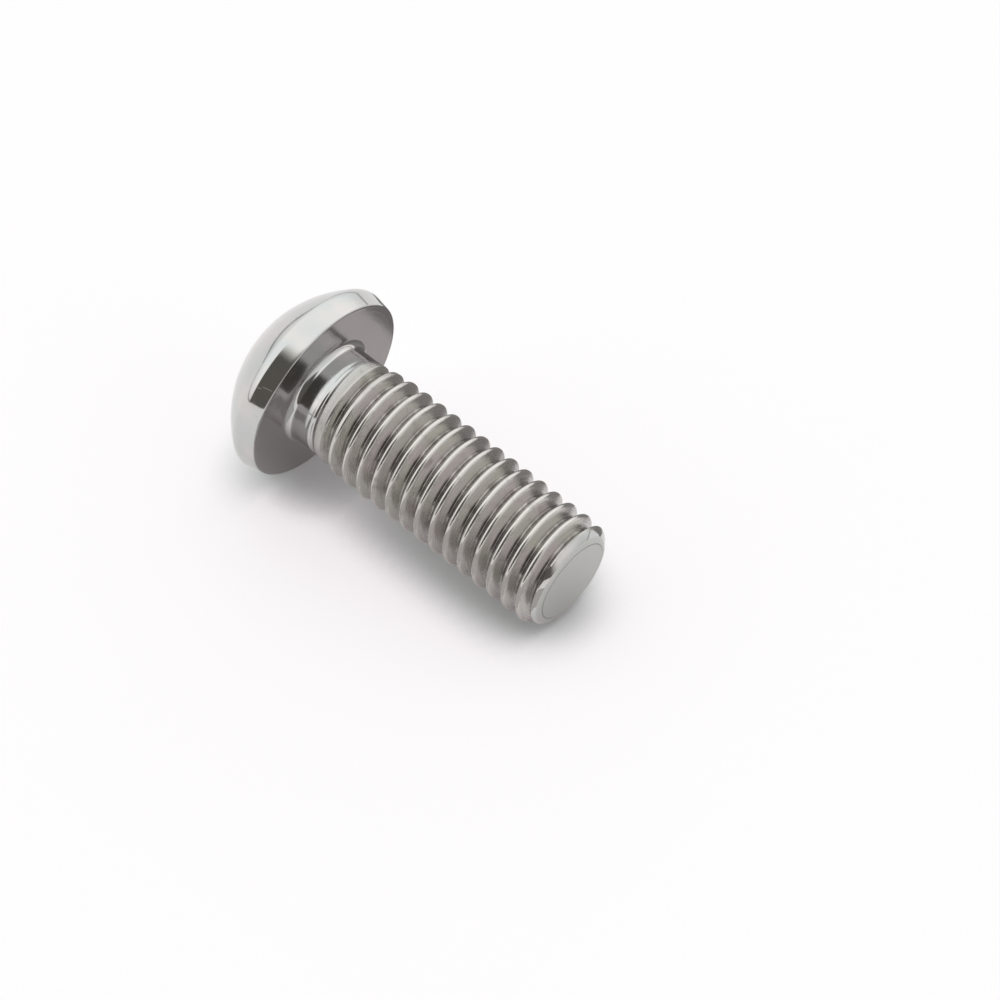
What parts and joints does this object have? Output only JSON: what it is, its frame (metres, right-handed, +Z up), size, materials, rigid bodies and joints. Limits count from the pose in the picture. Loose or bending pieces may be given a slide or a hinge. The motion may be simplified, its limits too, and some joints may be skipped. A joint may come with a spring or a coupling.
{
  "type": "button head screw",
  "caption": "Button head machine screw with a hexagon socket, a short plain neck and a coarse right-hand thread, lying on its side.",
  "frame": {"origin": "on the surface that the screw lies on, under the middle of its bounding box", "axes": "+X runs along the screw from the head towards the point, +Z is up, and the axis of the screw dips 8 degrees towards the point, because the head is wider than the thread"},
  "size_m": [0.0268, 0.014, 0.0139],
  "materials": {
    "steel": "polished stainless steel with fine turning marks"
  },
  "bodies": {
    "root": {"button_head_screw": "steel"}
  },
  "joints": []
}
